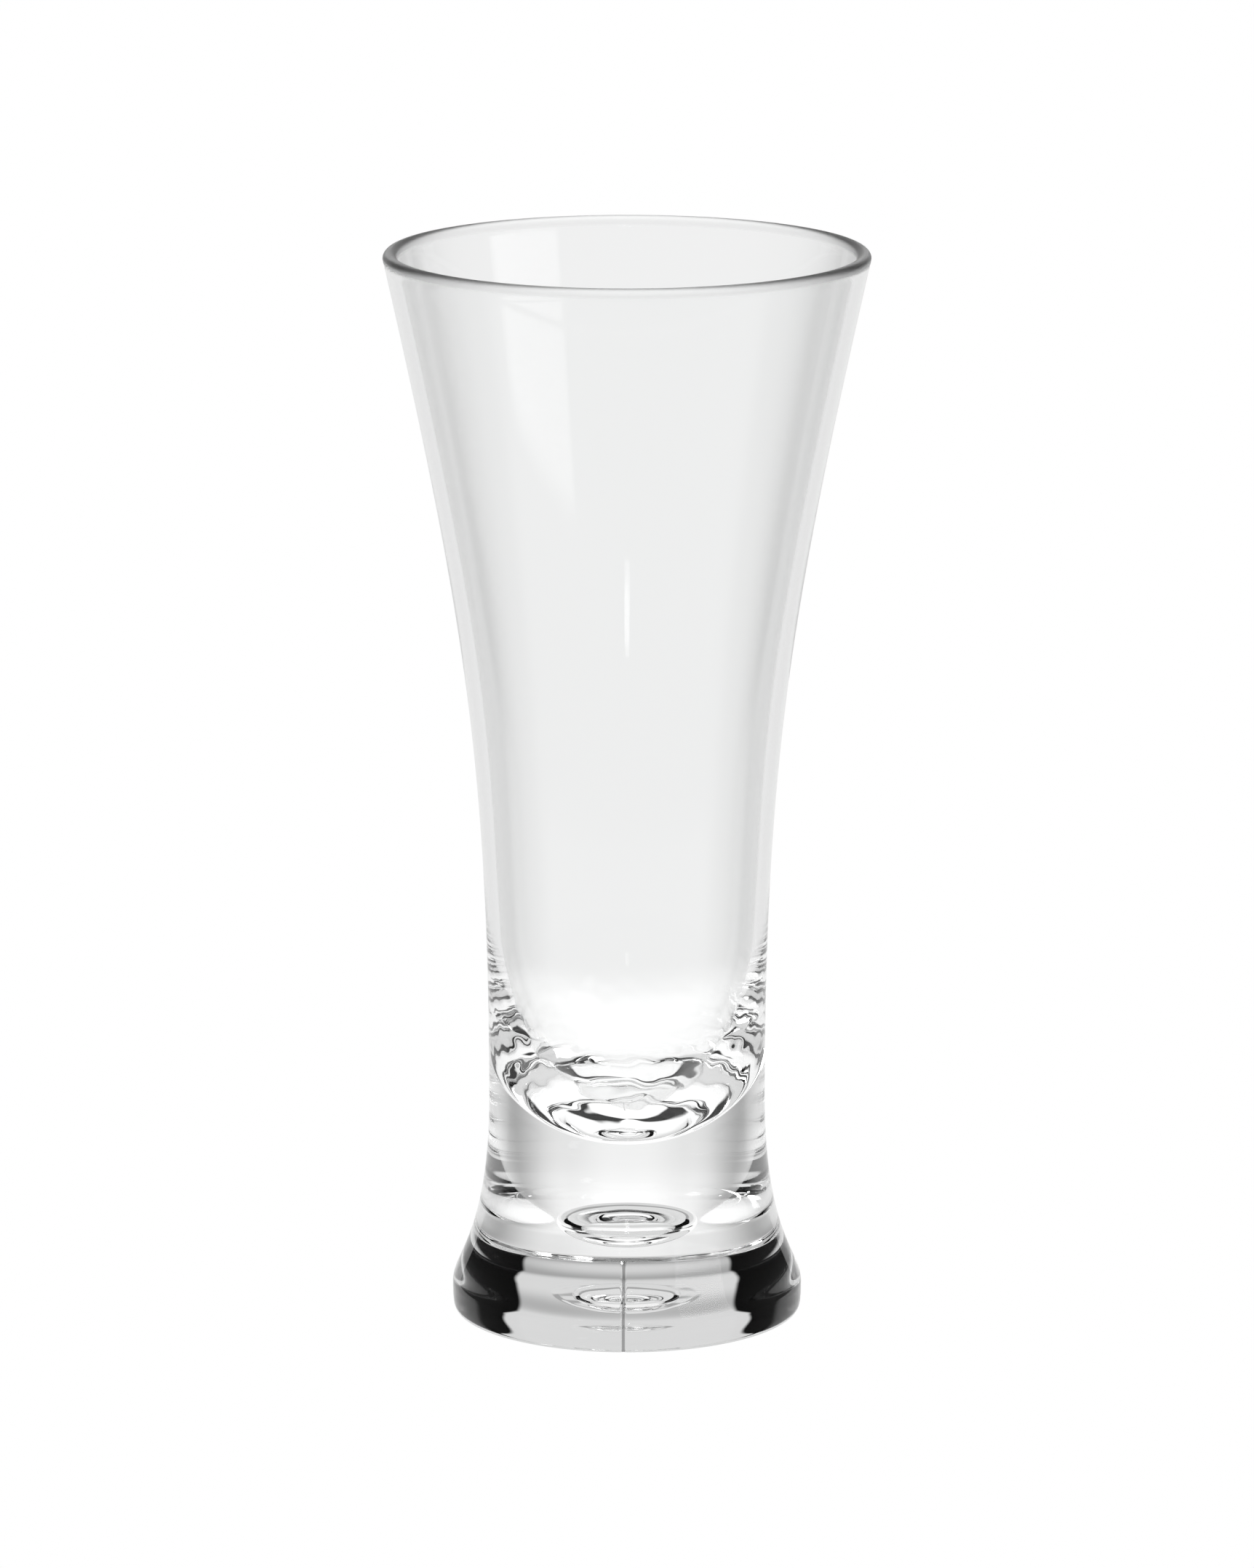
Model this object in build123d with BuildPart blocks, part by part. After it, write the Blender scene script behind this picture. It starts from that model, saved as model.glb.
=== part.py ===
from build123d import *
import os

# Pint glass: a tall, flared beer glass in clear glass, standing on its foot.
# Millimetres, +Z up, origin at the centre of the ring that the glass stands on.
# Two pieces of glass, fused hot into one at a flat joint: the blown bowl and the pressed foot.
# A flat bubble of air is trapped in the middle of the joint, half of it in each piece.

# Driving dimensions
glass_height = 207.0
rim_radius = 46.2            # outside, at the lip
waist_radius = 26.6          # the slimmest place of the outside
waist_height = 43.2
foot_radius = 33.8           # the widest place of the foot
foot_widest_height = 5.2
bearing_radius = 31.8        # outer edge of the ring that the glass stands on
joint_height = 17.2          # the flat face where the foot is fused to the bowl
lip_thickness = 2.6

# Outside curve: how far each end's direction holds, and the slope of the wall at the lip
lip_flare = 0.22             # radius gained for each millimetre of height at the lip
lip_pull = 65.6
waist_pull_up = 66.4
waist_pull_down = 28.6
foot_pull_up = 4.7
foot_corner_pull = 0.9       # share of the foot's lower corner that each end's direction holds

# Inside of the bowl
floor_height = 34.9          # top of the solid base, on the centre line
shoulder_height = 75.4       # below it the wall thickens and the bowl rounds in to its floor
shoulder_radius = 24.5
shoulder_flare = 0.048       # radius gained for each millimetre of height at the shoulder
shoulder_pull_up = 35.0
shoulder_pull_down = 13.7
inner_lip_pull = 78.1
floor_pull_out = 19.1

# Air bubble trapped in the joint
bubble_radius = 8.9
bubble_height = 9.2          # half of it above the joint, half below
quarter_round_pull = 0.5523  # makes a Bezier a quarter of an ellipse

# Underside of the foot
bearing_width = 2.4          # flat ring that touches the table
recess_height = 0.3          # the underside inside the ring stands this far off the table
recess_ramp = 1.6            # width of the slope between the ring and the recess
dimple_radius = 7.1          # small dimple in the middle of the underside
dimple_height = 2.2
dimple_crown_pull = 0.62     # share of the dimple's radius over which its top stays level
dimple_side_pull = 0.45      # share of its height over which its side stays upright

# Points that both curves of the wall meet at
lip_outer = (rim_radius, glass_height - lip_thickness / 2)
lip_inner = (rim_radius - lip_thickness, glass_height - lip_thickness / 2)
waist_point = (waist_radius, waist_height)
foot_point = (foot_radius, foot_widest_height)
shoulder_point = (shoulder_radius, shoulder_height)
bearing_outer = (bearing_radius, 0)
bearing_inner = (bearing_radius - bearing_width, 0)
recess_edge = (bearing_radius - bearing_width - recess_ramp, recess_height)
dimple_edge = (dimple_radius, recess_height)
dimple_top = (0, recess_height + dimple_height)
bubble_rim = (bubble_radius, joint_height)
bubble_top = (0, joint_height + bubble_height / 2)
bubble_bottom = (0, joint_height - bubble_height / 2)

with BuildPart() as bowl:
    with BuildSketch(Plane.XZ):
        with BuildLine():
            # up the outside, from the foot's widest place over the waist to the lip
            Line((0, foot_widest_height), foot_point)
            Bezier(
                foot_point,
                (foot_radius, foot_widest_height + foot_pull_up),
                (waist_radius, waist_height - waist_pull_down),
                waist_point,
            )
            Bezier(
                waist_point,
                (waist_radius, waist_height + waist_pull_up),
                (lip_outer[0] - lip_pull * lip_flare, lip_outer[1] - lip_pull),
                lip_outer,
            )
            # round lip
            ThreePointArc(lip_outer, (rim_radius - lip_thickness / 2, glass_height), lip_inner)
            # down the inside to the shoulder, and round to the middle of the floor
            Bezier(
                lip_inner,
                (lip_inner[0] - inner_lip_pull * lip_flare, lip_inner[1] - inner_lip_pull),
                (shoulder_radius + shoulder_pull_up * shoulder_flare, shoulder_height + shoulder_pull_up),
                shoulder_point,
            )
            Bezier(
                shoulder_point,
                (shoulder_radius - shoulder_pull_down * shoulder_flare, shoulder_height - shoulder_pull_down),
                (floor_pull_out, floor_height),
                (0, floor_height),
            )
            Line((0, floor_height), (0, foot_widest_height))
        make_face()
        # cut flat where the foot is fused on, with the upper half of the bubble in the cut
        Rectangle(rim_radius, joint_height, align=(Align.MIN, Align.MIN), mode=Mode.SUBTRACT)
        with BuildLine():
            Bezier(
                bubble_rim,
                (bubble_radius, joint_height + quarter_round_pull * bubble_height / 2),
                (quarter_round_pull * bubble_radius, bubble_top[1]),
                bubble_top,
            )
            Line(bubble_top, (0, joint_height))
            Line((0, joint_height), bubble_rim)
        make_face(mode=Mode.SUBTRACT)
    revolve(axis=Axis.Z)

with BuildPart() as foot:
    with BuildSketch(Plane.XZ):
        with BuildLine():
            # underside, from the middle of the dimple out to the bearing ring
            Bezier(
                dimple_top,
                (dimple_crown_pull * dimple_radius, dimple_top[1]),
                (dimple_radius, recess_height + dimple_side_pull * dimple_height),
                dimple_edge,
            )
            Line(dimple_edge, recess_edge)
            Line(recess_edge, bearing_inner)
            Line(bearing_inner, bearing_outer)
            # round the lower corner to the foot's widest place, then up towards the waist
            Bezier(
                bearing_outer,
                (bearing_radius + foot_corner_pull * (foot_radius - bearing_radius), 0),
                (foot_radius, (1 - foot_corner_pull) * foot_widest_height),
                foot_point,
            )
            Bezier(
                foot_point,
                (foot_radius, foot_widest_height + foot_pull_up),
                (waist_radius, waist_height - waist_pull_down),
                waist_point,
            )
            Line(waist_point, (0, waist_height))
            Line((0, waist_height), dimple_top)
        make_face()
        # cut flat where the bowl is fused on, with the lower half of the bubble in the cut
        Rectangle(rim_radius, joint_height, align=(Align.MIN, Align.MIN), mode=Mode.INTERSECT)
        with BuildLine():
            Bezier(
                bubble_rim,
                (bubble_radius, joint_height - quarter_round_pull * bubble_height / 2),
                (quarter_round_pull * bubble_radius, bubble_bottom[1]),
                bubble_bottom,
            )
            Line(bubble_bottom, (0, joint_height))
            Line((0, joint_height), bubble_rim)
        make_face(mode=Mode.SUBTRACT)
    revolve(axis=Axis.Z)

os.makedirs("parts", exist_ok=True)

bowl.part.label = "bowl"
export_step(bowl.part, "parts/bowl.step")

foot.part.label = "foot"
export_step(foot.part, "parts/foot.step")
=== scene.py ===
import math

import bpy
import numpy as np
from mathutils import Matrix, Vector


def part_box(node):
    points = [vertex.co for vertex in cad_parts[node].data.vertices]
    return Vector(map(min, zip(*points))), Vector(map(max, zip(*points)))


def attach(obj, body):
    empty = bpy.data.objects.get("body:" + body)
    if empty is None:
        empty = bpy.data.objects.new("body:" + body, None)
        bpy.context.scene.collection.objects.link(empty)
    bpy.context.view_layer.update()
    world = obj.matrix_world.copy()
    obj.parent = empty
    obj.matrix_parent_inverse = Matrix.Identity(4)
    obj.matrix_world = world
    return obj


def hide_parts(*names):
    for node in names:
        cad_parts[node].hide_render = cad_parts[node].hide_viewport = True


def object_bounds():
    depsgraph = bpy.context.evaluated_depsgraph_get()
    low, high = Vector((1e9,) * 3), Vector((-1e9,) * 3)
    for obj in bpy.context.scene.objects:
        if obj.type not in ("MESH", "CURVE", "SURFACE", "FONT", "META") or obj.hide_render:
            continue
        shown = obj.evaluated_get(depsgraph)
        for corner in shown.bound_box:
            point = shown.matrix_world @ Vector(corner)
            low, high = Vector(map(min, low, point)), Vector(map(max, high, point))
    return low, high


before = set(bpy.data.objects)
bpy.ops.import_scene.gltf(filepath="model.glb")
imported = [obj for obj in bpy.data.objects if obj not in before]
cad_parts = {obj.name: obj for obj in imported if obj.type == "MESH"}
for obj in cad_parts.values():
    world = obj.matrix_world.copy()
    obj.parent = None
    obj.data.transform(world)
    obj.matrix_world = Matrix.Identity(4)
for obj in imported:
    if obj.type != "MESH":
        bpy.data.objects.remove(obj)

cad_box = [list(corner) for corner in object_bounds()]
glass_height = cad_box[1][2] - cad_box[0][2]
scene = bpy.context.scene

# ---------------------------------------------------------------------------
# Camera: a long lens on a stand in front of the glass, a little above it and
# tipped down, so that the mouth shows as a thin ellipse.
# ---------------------------------------------------------------------------
camera_distance = 7.519 * glass_height
camera_height = 2.175 * glass_height
camera_tip = 0.21903               # radians below the level
camera_lens = 191.03               # millimetres, on film 36 mm wide
film_width = 36.0
camera_reach = 50.0
light_bounces = 48                 # the thick base sends light round inside it many times

camera_data = bpy.data.cameras.new("camera")
camera_data.lens = camera_lens
camera_data.sensor_width = film_width
camera_data.clip_end = camera_reach
camera = bpy.data.objects.new("camera", camera_data)
camera.location = (0.0, -camera_distance, camera_height)
camera.rotation_euler = (math.pi / 2 - camera_tip, 0.0, 0.0)
scene.collection.objects.link(camera)
scene.camera = camera
scene.view_settings.view_transform = "Standard"
scene.view_settings.look = "None"
scene.cycles.max_bounces = light_bounces
scene.cycles.transmission_bounces = light_bounces
scene.cycles.glossy_bounces = light_bounces

# ---------------------------------------------------------------------------
# Studio: a white table, a bright panel behind the glass, black flags beside it
# that draw the dark edges of the glass, a white ceiling, and a softbox to the
# right. Light that is not reflected in the glass comes from white tents instead.
# ---------------------------------------------------------------------------
table_light = 0.90
table_edge = (-8.0, -5.5)          # degrees below the horizon at which the table ends
table_near_light = 1.06            # it is brighter close to the glass
table_near = (-20.0, -32.0)        # degrees below the horizon
# degrees round from a lamp over the table at which light starts and ends to be lost, and the share lost
table_fall = ((4.0, 20.0, 0.12), (20.0, 46.0, 0.42))
table_lamp_fold = 45.0             # half the angle from one lamp to the next
thin_glass_fall = 0.15             # share of that loss seen through the bowl's two walls
card_round = ((58.0, 68.0), (100.0, 108.0))   # dark cards on the table, either side of the glass
card_light = 0.05
panel_light = 0.70
panel_high_light = 0.38            # the panel is dimmer above
panel_dim_height = (15.0, 22.0)
panel_edge = (27.0, 29.0)          # half the panel's width, in degrees
panel_spread = 0.45                # the panel's edges lean outwards towards its foot
flag_light = 0.003
flag_end = (100.0, 112.0)          # degrees round at which the flags give way to the dim room
dim_room_light = 0.20
tent_roof_light = 1.00             # the tents are brighter overhead
tent_roof_height = (25.0, 45.0)
ceiling_light = 0.75
ceiling_edge_back = 0.57           # slope of the line up to the ceiling's edge, behind the glass
ceiling_edge_front = 0.70
ceiling_edge_side = 0.45
ceiling_soften = 0.05
overhead_flag_high = (50.0, 58.0)  # a black flag over the camera keeps glare off the foot
overhead_flag_round = (85.0, 115.0)
softbox_light = 4.6
softbox_round = (108.0, 143.0)     # degrees round to the right, from straight behind the glass
softbox_high = (9.6, 42.0)
softbox_soften = 2.0
strip_light = 24.0
strip_half_width = 2.0             # a narrow strip light straight in front of the glass
strip_high = (2.9, 6.4)
strip_soften = 0.5
least_level = 0.02                 # keeps slopes finite straight up and straight down
base_crossings = 2.5               # light through the solid base crosses fewer surfaces than this

world = bpy.data.worlds.new("studio")
scene.world = world
world.use_nodes = True
studio = world.node_tree


def feed(tree, socket, value):
    """Link a socket to the value where that is a socket itself, or set it where it is a number."""
    if isinstance(value, (int, float)):
        socket.default_value = value
    else:
        tree.links.new(value, socket)


def work_out(tree, operation, *values):
    """A Math node: one operation on the values, as a new value."""
    node = tree.nodes.new("ShaderNodeMath")
    node.operation = operation
    for socket, value in zip(node.inputs, values):
        feed(tree, socket, value)
    return node.outputs[0]


def fade(tree, value, start, end):
    """0 up to start, 1 from end on, and a smooth step between them."""
    node = tree.nodes.new("ShaderNodeMapRange")
    node.interpolation_type = "SMOOTHSTEP"
    feed(tree, node.inputs["Value"], value)
    node.inputs["From Min"].default_value = start
    node.inputs["From Max"].default_value = end
    return node.outputs["Result"]


def blend_values(tree, share, first, second):
    """The first value where the share is 0, the second where it is 1, a mix of both between."""
    node = tree.nodes.new("ShaderNodeMix")
    node.data_type = "FLOAT"
    for place, value in ((0, share), (2, first), (3, second)):
        feed(tree, node.inputs[place], value)
    return node.outputs[0]


def studio_value(operation, *values):
    """work_out in the studio's own node tree."""
    return work_out(studio, operation, *values)


direction = studio.nodes.new("ShaderNodeTexCoord").outputs["Generated"]
split_direction = studio.nodes.new("ShaderNodeSeparateXYZ")
studio.links.new(direction, split_direction.inputs[0])
to_right, to_back, to_top = split_direction.outputs
to_degrees = 180.0 / math.pi
# degrees round from straight behind the glass, and degrees above the horizon
signed_round = studio_value("MULTIPLY", studio_value("ARCTAN2", to_right, to_back), to_degrees)
degrees_round = studio_value("ABSOLUTE", signed_round)
degrees_up = studio_value("MULTIPLY", studio_value("ARCSINE", to_top), to_degrees)

panel = blend_values(studio, fade(studio, degrees_up, *panel_dim_height), panel_light, panel_high_light)
below_dim = studio_value("SUBTRACT", panel_dim_height[0],
                         studio_value("MINIMUM", degrees_up, panel_dim_height[0]))
leaning_round = studio_value("SUBTRACT", degrees_round, studio_value("MULTIPLY", below_dim, panel_spread))
wall = blend_values(studio, fade(studio, leaning_round, *panel_edge), panel, flag_light)
wall = blend_values(studio, fade(studio, degrees_round, *flag_end), wall, dim_room_light)

level = studio_value("SQRT", studio_value("SUBTRACT", 1.0, studio_value("MULTIPLY", to_top, to_top)))
slope_up = studio_value("DIVIDE", to_top, studio_value("MAXIMUM", level, least_level))
along_back = studio_value("DIVIDE", to_back, studio_value("MAXIMUM", level, least_level))
edge_slope = studio_value("MAXIMUM", studio_value("MULTIPLY", along_back, ceiling_edge_back),
                          studio_value("MULTIPLY", along_back, -ceiling_edge_front))
edge_slope = studio_value("MAXIMUM", edge_slope, ceiling_edge_side)
over_edge = studio_value("SUBTRACT", slope_up, edge_slope)
over_camera = studio_value("MULTIPLY", fade(studio, degrees_up, *overhead_flag_high),
                           fade(studio, degrees_round, *overhead_flag_round))
ceiling = blend_values(studio, over_camera, ceiling_light, flag_light)
room = blend_values(studio, fade(studio, over_edge, 0.0, ceiling_soften), wall, ceiling)

in_softbox = studio_value("MULTIPLY",
                          fade(studio, signed_round, softbox_round[0] - softbox_soften, softbox_round[0]),
                          fade(studio, signed_round, softbox_round[1] + softbox_soften, softbox_round[1]))
in_softbox = studio_value("MULTIPLY", in_softbox,
                          fade(studio, degrees_up, softbox_high[0] - softbox_soften, softbox_high[0]))
in_softbox = studio_value("MULTIPLY", in_softbox,
                          fade(studio, degrees_up, softbox_high[1] + softbox_soften, softbox_high[1]))
room = blend_values(studio, in_softbox, room, softbox_light)
in_strip = studio_value("MULTIPLY",
                        fade(studio, degrees_round, 180.0 - strip_half_width,
                             180.0 + strip_soften - strip_half_width),
                        studio_value("MULTIPLY",
                                     fade(studio, degrees_up, strip_high[0] - strip_soften, strip_high[0]),
                                     fade(studio, degrees_up, strip_high[1] + strip_soften, strip_high[1])))
ray = studio.nodes.new("ShaderNodeLightPath")
table = blend_values(studio, fade(studio, degrees_up, *table_near), table_light, table_near_light)
card = studio_value("SUBTRACT", fade(studio, degrees_round, *card_round[0]),
                    fade(studio, degrees_round, *card_round[1]))
carded_table = blend_values(studio, card, table, card_light)
room = blend_values(studio, fade(studio, degrees_up, *table_edge), carded_table, room)
# light that has not been reflected on its way comes from white tents close round the glass
lamp_round = studio_value("PINGPONG", degrees_round, table_lamp_fold)
lost = 0.0
for fall_start, fall_end, fall in table_fall:
    lost = studio_value("ADD", lost, studio_value("MULTIPLY", fall,
                                                  fade(studio, lamp_round, fall_start, fall_end)))
through_base = studio_value("LESS_THAN", ray.outputs["Transmission Depth"], base_crossings)
lost = studio_value("MULTIPLY", lost, blend_values(studio, through_base, thin_glass_fall, 1.0))
open_table = studio_value("MULTIPLY", table, studio_value("SUBTRACT", 1.0, lost))
tent_wall = blend_values(studio, fade(studio, degrees_up, *tent_roof_height), panel_light, tent_roof_light)
tent = blend_values(studio, fade(studio, degrees_up, *table_edge), open_table, tent_wall)
straight = studio_value("LESS_THAN", ray.outputs["Glossy Depth"], 0.5)
room = blend_values(studio, straight, room, tent)
room = blend_values(studio, in_strip, room, strip_light)

# straight to the lens, everything round the glass is plain white
room = blend_values(studio, ray.outputs["Is Camera Ray"], room, 1.0)
studio.links.new(room, studio.nodes["Background"].inputs["Color"])

# ---------------------------------------------------------------------------
# Floor: the white table that the glass stands on, evenly lit, so that it takes
# no shadow and runs into the background.
# ---------------------------------------------------------------------------
floor_half_width = 3.0
floor_gap = 0.0002                 # it lies this far under the glass
floor_level = cad_box[0][2] - floor_gap

floor_mesh = bpy.data.meshes.new("floor")
floor_mesh.from_pydata(
    [(-floor_half_width, -floor_half_width, floor_level),
     (floor_half_width, -floor_half_width, floor_level),
     (floor_half_width, floor_half_width, floor_level),
     (-floor_half_width, floor_half_width, floor_level)],
    [], [(0, 1, 2, 3)])
floor = bpy.data.objects.new("floor", floor_mesh)
scene.collection.objects.link(floor)
floor_paint = bpy.data.materials.new("white table")
floor_paint.use_nodes = True
floor_nodes = floor_paint.node_tree
floor_nodes.nodes.remove(floor_nodes.nodes["Principled BSDF"])
floor_glow = floor_nodes.nodes.new("ShaderNodeEmission")
floor_glow.inputs["Strength"].default_value = 1.0
floor_nodes.links.new(floor_glow.outputs[0], floor_nodes.nodes["Material Output"].inputs["Surface"])
floor_mesh.materials.append(floor_paint)
floor.visible_glossy = False
floor.visible_transmission = False
floor.visible_diffuse = False

# ---------------------------------------------------------------------------
# Bowl: clear soda-lime glass, blown in a turned mould and fire polished, so it
# has no seam. A thin flared wall with a round lip, and a thick solid base. Its
# flat bottom is fused hot to the foot over a trapped bubble of air.
# ---------------------------------------------------------------------------
bowl_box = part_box("bowl")
rim_radius = bowl_box[1][0]
lip_height = bowl_box[1][2]
joint_height = bowl_box[0][2]
waist_radius = 0.0266
waist_height = 0.0432
foot_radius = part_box("foot")[1][0]
foot_widest_height = 0.0052
lip_thickness = 0.0026
lip_flare = 0.22                   # radius gained for each unit of height at the lip
lip_pull = 0.0656
waist_pull_up = 0.0664
waist_pull_down = 0.0286
foot_pull_up = 0.0047
floor_height = 0.0349
shoulder_radius = 0.0245
shoulder_height = 0.0754
shoulder_flare = 0.048
shoulder_pull_up = 0.0350
shoulder_pull_down = 0.0137
inner_lip_pull = 0.0781
floor_pull_out = 0.0191
bubble_radius = 0.0089
bubble_half_height = 0.0046
quarter_round_pull = 0.5523        # makes a Bezier a quarter of an ellipse
bowl_steps = 256
curve_steps = 90
floor_steps = 80
bubble_steps = 28
lip_steps = 16
crease_angle = math.radians(25.0)
same_height = 1e-6


def bezier(start, start_pull, end_pull, end, steps):
    """Points along a cubic Bezier: the four points weighted (1-t)^3, 3t(1-t)^2, 3t^2(1-t) and t^3."""
    t = np.linspace(0.0, 1.0, steps)[:, None]
    corners = [np.array(point) for point in (start, start_pull, end_pull, end)]
    return ((1 - t) ** 3 * corners[0] + 3 * t * (1 - t) ** 2 * corners[1]
            + 3 * t ** 2 * (1 - t) * corners[2] + t ** 3 * corners[3])


def cut_at(curve, height):
    """The parts of a rising curve below and above a height, each with the point at that height."""
    cut = np.array([[np.interp(height, curve[:, 1], curve[:, 0]), height]])
    return (np.vstack([curve[curve[:, 1] < height], cut]),
            np.vstack([cut, curve[curve[:, 1] > height]]))


def turned_mesh(name, profile, turns, relief=0.0):
    """A profile of (radius, height) points, from axis to axis, turned about the axis.

    Grid of profile points by angles: x = (radius + relief) cos(angle), y = (radius + relief) sin(angle).
    The two end points are single poles, closed with fans of triangles.
    """
    radius = profile[1:-1, 0][:, None] + relief
    height = np.repeat(profile[1:-1, 1][:, None], len(turns), axis=1)
    rows, around = height.shape
    grid = np.stack([radius * np.cos(turns), radius * np.sin(turns), height], axis=-1).reshape(-1, 3)
    poles = np.array([[0.0, 0.0, profile[0, 1]], [0.0, 0.0, profile[-1, 1]]])
    here = np.arange(around)
    after = (here + 1) % around
    row = np.arange(rows - 1)[:, None] * around
    walls = np.stack([row + here, row + after, row + around + after, row + around + here], axis=-1)
    last = (rows - 1) * around
    first_pole = rows * around
    first_fan = np.stack([np.full(around, first_pole), after, here], axis=-1)
    last_fan = np.stack([np.full(around, first_pole + 1), last + here, last + after], axis=-1)
    mesh = bpy.data.meshes.new(name)
    mesh.from_pydata(np.vstack([grid, poles]).tolist(), [],
                     walls.reshape(-1, 4).tolist() + first_fan.tolist() + last_fan.tolist())
    mesh.polygons.foreach_set("use_smooth", np.ones(len(mesh.polygons), dtype=bool))
    mesh.set_sharp_from_angle(angle=crease_angle)
    return mesh


def link_object(name, mesh):
    """A new object for the mesh, at the origin."""
    made = bpy.data.objects.new(name, mesh)
    scene.collection.objects.link(made)
    return made


def mark_joint_faces(mesh, slot_number):
    """Give the level faces at the joint's height their own material slot."""
    centres = np.empty(len(mesh.polygons) * 3)
    mesh.polygons.foreach_get("center", centres)
    slots = np.where(np.abs(centres[2::3] - joint_height) < same_height, slot_number, 0)
    mesh.polygons.foreach_set("material_index", slots.astype(np.int32))


lip_outer = (rim_radius, lip_height - lip_thickness / 2)
lip_inner = (rim_radius - lip_thickness, lip_height - lip_thickness / 2)
waist_point = (waist_radius, waist_height)
foot_point = (foot_radius, foot_widest_height)
shoulder_point = (shoulder_radius, shoulder_height)

foot_to_waist = bezier(foot_point, (foot_radius, foot_widest_height + foot_pull_up),
                       (waist_radius, waist_height - waist_pull_down), waist_point, curve_steps)
below_joint, above_joint = cut_at(foot_to_waist, joint_height)
waist_to_lip = bezier(waist_point, (waist_radius, waist_height + waist_pull_up),
                      (lip_outer[0] - lip_pull * lip_flare, lip_outer[1] - lip_pull), lip_outer,
                      curve_steps)
lip_turn = np.linspace(0.0, np.pi, lip_steps)[1:-1]
lip_round = np.stack([rim_radius - lip_thickness / 2 * (1 - np.cos(lip_turn)),
                      lip_outer[1] + lip_thickness / 2 * np.sin(lip_turn)], axis=-1)
lip_to_shoulder = bezier(lip_inner, (lip_inner[0] - inner_lip_pull * lip_flare,
                                     lip_inner[1] - inner_lip_pull),
                         (shoulder_radius + shoulder_pull_up * shoulder_flare,
                          shoulder_height + shoulder_pull_up), shoulder_point, curve_steps)
shoulder_to_floor = bezier(shoulder_point, (shoulder_radius - shoulder_pull_down * shoulder_flare,
                                            shoulder_height - shoulder_pull_down),
                           (floor_pull_out, floor_height), (0.0, floor_height), floor_steps)
bubble_rim = (bubble_radius, joint_height)
bubble_crown = bezier((0.0, joint_height + bubble_half_height),
                      (quarter_round_pull * bubble_radius, joint_height + bubble_half_height),
                      (bubble_radius, joint_height + quarter_round_pull * bubble_half_height), bubble_rim,
                      bubble_steps)

bowl_profile = np.vstack([bubble_crown, above_joint, waist_to_lip[1:], lip_round,
                          lip_to_shoulder, shoulder_to_floor[1:]])
bowl_turns = np.linspace(0.0, 2 * np.pi, bowl_steps, endpoint=False)
bowl_mesh = turned_mesh("bowl_glass", bowl_profile, bowl_turns)
bowl = link_object("bowl_glass", bowl_mesh)

glass_ior = 1.52
glass_tints = ((0.975, 0.978, 0.977, 1.0), (0.984, 0.987, 0.986, 1.0))
edge_painted_shade = 0.70              # painted shade: the glass's colour is darkened where it is seen along its surface
edge_painted_shade_range = (0.30, 0.80)
lip_roughness = 0.35
seam_least_radius = waist_radius + 0.0015   # a seam's line stays on the outside, off the underside
bowl_waves = (45.0, (1.0, 1.0, 0.35), 0.000015)   # scale, stretch and depth of the slow waves
bowl_rings = (160.0, 0.000001)     # scale and depth of the fine rings
ripple_height = (0.066, 0.050)     # the bowl's inside is rippled below this
ripple_scale = 260.0
ripple_depth = 0.00018
glass_gloss = (0.15, 0.15, 0.15, 1.0)   # below 1, so that the room's glare on the glass stays low


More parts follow.
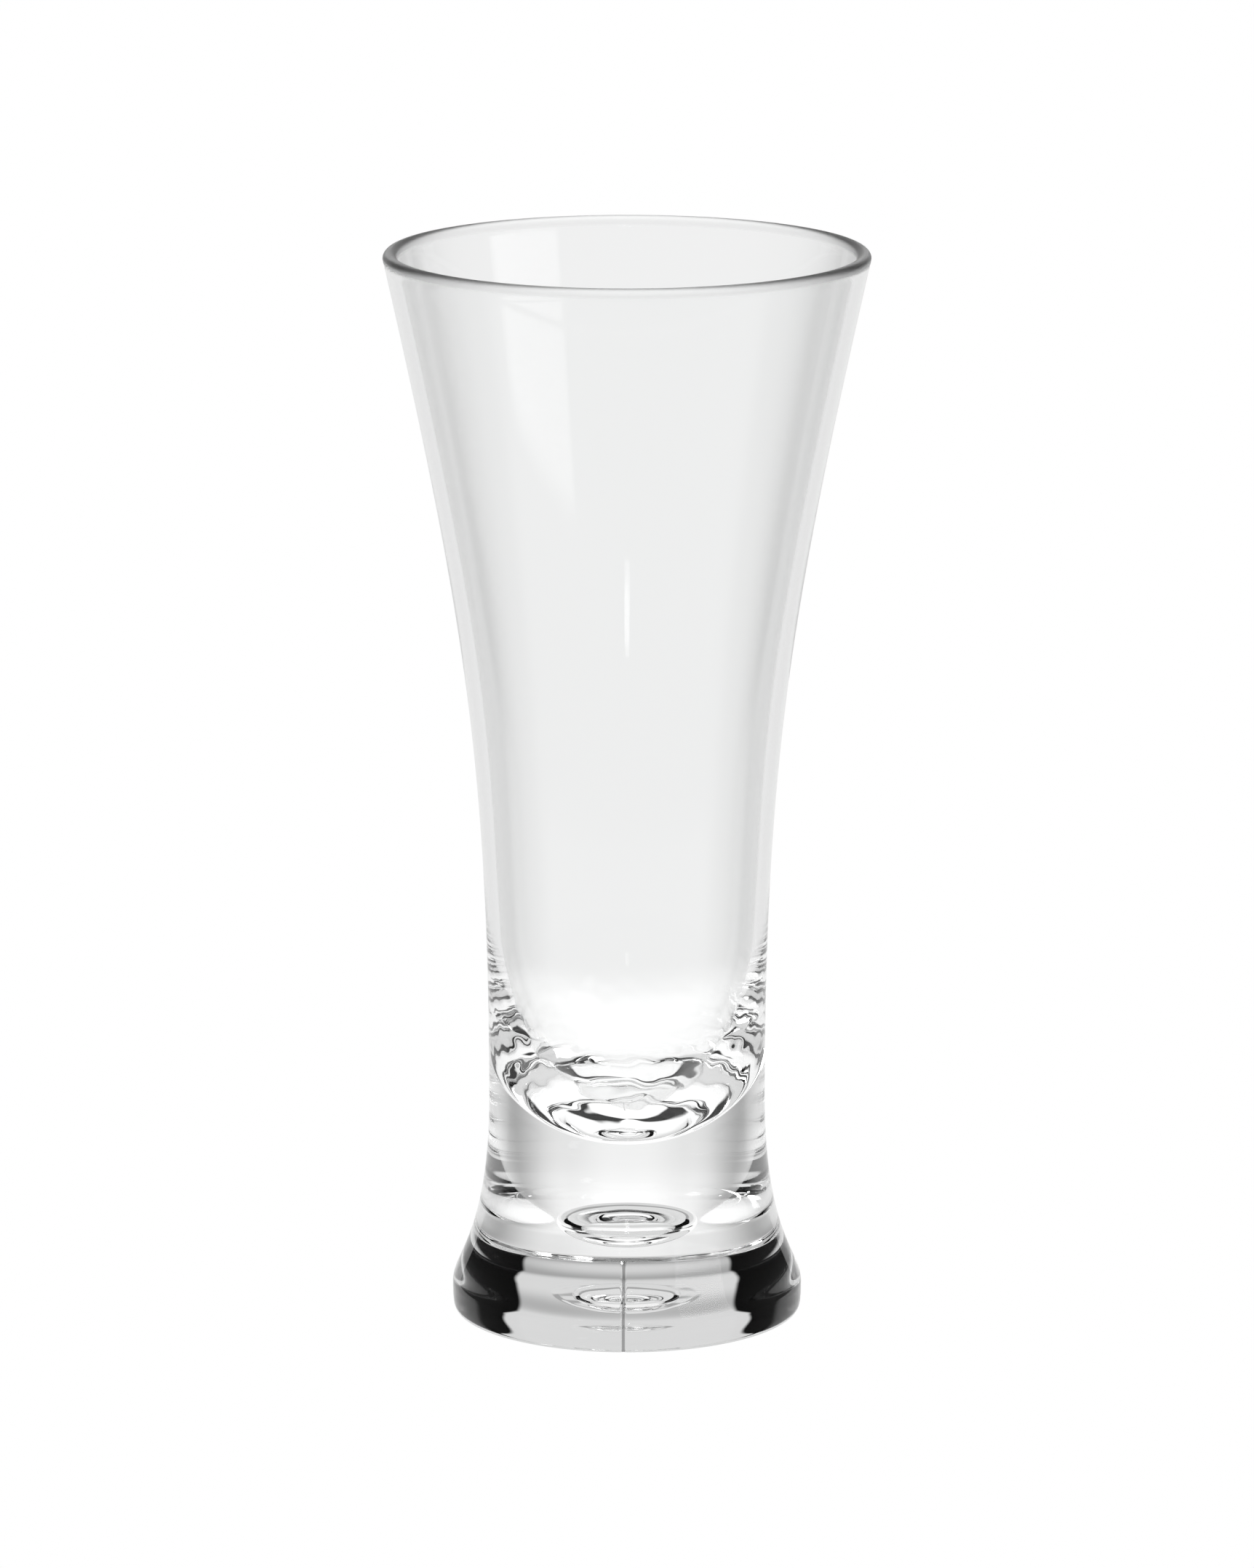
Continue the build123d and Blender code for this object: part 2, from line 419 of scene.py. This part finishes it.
def clear_glass(name, wave_kind, ring_kind, ripple_radius, lip_rough=0.0, seam=None):
    """Clear glass whose surface undulates.

    Its height is a slow noise in the object's own coordinates, stretched along the axis, plus fine
    rings of a second noise that changes with height only, plus ripples of a third, closer noise in
    the hollows: low down and within ripple_radius of the axis. A slow noise also moves the faint
    tint. Its colour is darkened where it is seen edge-on: painted shade. A seam, given as its angle,
    half width and the colour of its painted shade, is a dark line of painted shade down the outside.
    """
    wave_scale, wave_stretch, wave_depth = wave_kind
    ring_scale, ring_depth = ring_kind
    material = bpy.data.materials.new(name)
    material.use_nodes = True
    tree = material.node_tree
    glass = tree.nodes["Principled BSDF"]
    glass.inputs["Transmission Weight"].default_value = 1.0
    glass.inputs["Roughness"].default_value = 0.0
    glass.inputs["IOR"].default_value = glass_ior
    glass.inputs["Specular Tint"].default_value = glass_gloss
    place = tree.nodes.new("ShaderNodeTexCoord").outputs["Object"]

    def noise(scale, stretch, detail):
        turned = tree.nodes.new("ShaderNodeMapping")
        turned.inputs["Scale"].default_value = stretch
        tree.links.new(place, turned.inputs["Vector"])
        texture = tree.nodes.new("ShaderNodeTexNoise")
        texture.inputs["Scale"].default_value = scale
        texture.inputs["Detail"].default_value = detail
        tree.links.new(turned.outputs[0], texture.inputs["Vector"])
        return texture.outputs["Fac"]

    split_place = tree.nodes.new("ShaderNodeSeparateXYZ")
    tree.links.new(place, split_place.inputs[0])
    along_x, along_y, height = split_place.outputs
    radius = work_out(tree, "SQRT", work_out(tree, "ADD", work_out(tree, "MULTIPLY", along_x, along_x),
                                             work_out(tree, "MULTIPLY", along_y, along_y)))
    in_hollow = work_out(tree, "MULTIPLY", fade(tree, radius, *ripple_radius),
                         fade(tree, height, *ripple_height))
    if lip_rough:
        at_lip = fade(tree, height, lip_height - lip_thickness, lip_height - lip_thickness / 2)
        tree.links.new(work_out(tree, "MULTIPLY", at_lip, lip_rough), glass.inputs["Roughness"])
    tint = tree.nodes.new("ShaderNodeMix")
    tint.data_type = "RGBA"
    tint.inputs[6].default_value, tint.inputs[7].default_value = glass_tints
    tree.links.new(noise(wave_scale * 0.5, (1.0, 1.0, 0.5), 1.0), tint.inputs[0])
    # painted shade: the colour is multiplied darker where the glass is seen edge-on, toward its outlines
    edge = tree.nodes.new("ShaderNodeMix")
    edge.data_type = "RGBA"
    edge.blend_type = "MULTIPLY"
    edge.inputs[7].default_value = (edge_painted_shade, edge_painted_shade, edge_painted_shade, 1.0)
    along_surface = tree.nodes.new("ShaderNodeLayerWeight").outputs["Facing"]
    tree.links.new(fade(tree, along_surface, *edge_painted_shade_range), edge.inputs[0])
    tree.links.new(tint.outputs[2], edge.inputs[6])
    tree.links.new(edge.outputs[2], glass.inputs["Base Color"])
    if seam:
        turn, half_width, seam_painted_shade = seam
        across = work_out(tree, "ABSOLUTE", work_out(
            tree, "SUBTRACT", work_out(tree, "MULTIPLY", along_x, math.sin(turn)),
            work_out(tree, "MULTIPLY", along_y, math.cos(turn))))
        on_seam = work_out(tree, "MULTIPLY", fade(tree, across, half_width, half_width / 2),
                           work_out(tree, "LESS_THAN", along_y, 0.0))
        on_seam = work_out(tree, "MULTIPLY", on_seam,
                           work_out(tree, "GREATER_THAN", radius, seam_least_radius))
        # painted shade: a dark line along the seam, standing in for the shade in its groove
        seam_line = tree.nodes.new("ShaderNodeMix")
        seam_line.data_type = "RGBA"
        seam_line.inputs[7].default_value = seam_painted_shade
        tree.links.new(on_seam, seam_line.inputs[0])
        tree.links.new(edge.outputs[2], seam_line.inputs[6])
        tree.links.new(seam_line.outputs[2], glass.inputs["Base Color"])
    waves = tree.nodes.new("ShaderNodeBump")
    waves.inputs["Distance"].default_value = wave_depth
    waves.inputs["Strength"].default_value = 1.0
    tree.links.new(noise(wave_scale, wave_stretch, 0.0), waves.inputs["Height"])
    rings = tree.nodes.new("ShaderNodeBump")
    rings.inputs["Distance"].default_value = ring_depth
    rings.inputs["Strength"].default_value = 1.0
    tree.links.new(noise(ring_scale, (0.02, 0.02, 1.0), 1.0), rings.inputs["Height"])
    tree.links.new(waves.outputs[0], rings.inputs["Normal"])
    ripples = tree.nodes.new("ShaderNodeBump")
    ripples.inputs["Distance"].default_value = ripple_depth
    ripples.inputs["Strength"].default_value = 1.0
    tree.links.new(work_out(tree, "MULTIPLY", noise(ripple_scale, (1.0, 1.0, 1.0), 0.0), in_hollow),
                   ripples.inputs["Height"])
    tree.links.new(ripples.outputs[0], waves.inputs["Normal"])
    tree.links.new(rings.outputs[0], glass.inputs["Normal"])
    return material


bowl_mesh.materials.append(clear_glass("blown glass", bowl_waves, bowl_rings,
                                       (waist_radius, shoulder_radius), lip_roughness))

# the fused faces inside the base meet without a gap, so light goes straight through them
fused_joint = bpy.data.materials.new("fused joint")
fused_joint.use_nodes = True
fused_joint.node_tree.nodes["Principled BSDF"].inputs["Alpha"].default_value = 0.0
bowl_mesh.materials.append(fused_joint)
mark_joint_faces(bowl_mesh, 1)

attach(bowl, "root")
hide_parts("bowl")

# ---------------------------------------------------------------------------
# Foot: the heavy disc of clear glass under the bowl, pressed in a mould that
# leaves a fine seam down its -Y side only. Its underside is flat, with a low
# bearing ring at its edge and a small dimple in its middle.
# ---------------------------------------------------------------------------
bearing_radius = 0.0318
foot_corner_pull = 0.9             # share of the lower corner that each end's direction holds
bearing_width = 0.0024
recess_height = 0.0003
recess_ramp = 0.0016
dimple_radius = 0.0071
dimple_height = 0.0022
dimple_crown_pull = 0.62
dimple_side_pull = 0.45
foot_waves = (60.0, (1.0, 1.0, 1.0), 0.00002)
foot_rings = (120.0, 0.000001)
hollow_margin = 0.001              # ripples fade out this far outside the bubble
dimple_steps = 30
corner_steps = 24
foot_steps = 448
seam_crowding = 0.90               # how much closer the angles lie at the seam than on average
seam_turn = math.radians(-91.2)
seam_half_width = 0.00040
seam_depth = 0.00025
# painted shade: the colour of the dark line along the seam groove, standing in for the groove's shade
seam_painted_shade = (0.22, 0.22, 0.22, 1.0)

foot_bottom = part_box("foot")[0][2]
recess_level = foot_bottom + recess_height
dimple = bezier((0.0, recess_level + dimple_height),
                (dimple_crown_pull * dimple_radius, recess_level + dimple_height),
                (dimple_radius, recess_level + dimple_side_pull * dimple_height),
                (dimple_radius, recess_level), dimple_steps)
underside = np.array([(bearing_radius - bearing_width - recess_ramp, recess_level),
                      (bearing_radius - bearing_width, foot_bottom),
                      (bearing_radius, foot_bottom)])
corner = bezier((bearing_radius, foot_bottom),
                (bearing_radius + foot_corner_pull * (foot_radius - bearing_radius), foot_bottom),
                (foot_radius, foot_bottom + (1 - foot_corner_pull) * foot_widest_height), foot_point,
                corner_steps)
bubble_bed = bubble_crown[::-1] * (1.0, -1.0) + (0.0, 2 * joint_height)
foot_profile = np.vstack([dimple, underside, corner[1:], below_joint[1:], bubble_bed])

even_turns = np.linspace(0.0, 2 * np.pi, foot_steps, endpoint=False)
foot_turns = even_turns - seam_crowding * np.sin(even_turns) + seam_turn
# the seam is a shallow groove in the outside only: from the corner up to the joint
outside_rows = (foot_profile[1:-1, 0] > bearing_radius - same_height) | (
    (foot_profile[1:-1, 1] > foot_widest_height) & (foot_profile[1:-1, 0] > bubble_radius + hollow_margin))
across_seam = foot_profile[1:-1, 0][:, None] * np.sin(foot_turns - seam_turn)
seam_groove = (outside_rows[:, None] * (np.cos(foot_turns - seam_turn) > 0) * -seam_depth
              * np.exp(-(across_seam / seam_half_width) ** 2))
foot_mesh = turned_mesh("foot_glass", foot_profile, foot_turns, seam_groove)
foot = link_object("foot_glass", foot_mesh)
foot_mesh.materials.append(clear_glass("pressed glass", foot_waves, foot_rings,
                                       (bubble_radius + hollow_margin, bubble_radius),
                                       seam=(seam_turn, seam_half_width, seam_painted_shade)))
foot_mesh.materials.append(fused_joint)
mark_joint_faces(foot_mesh, 1)

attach(foot, "root")
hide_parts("foot")
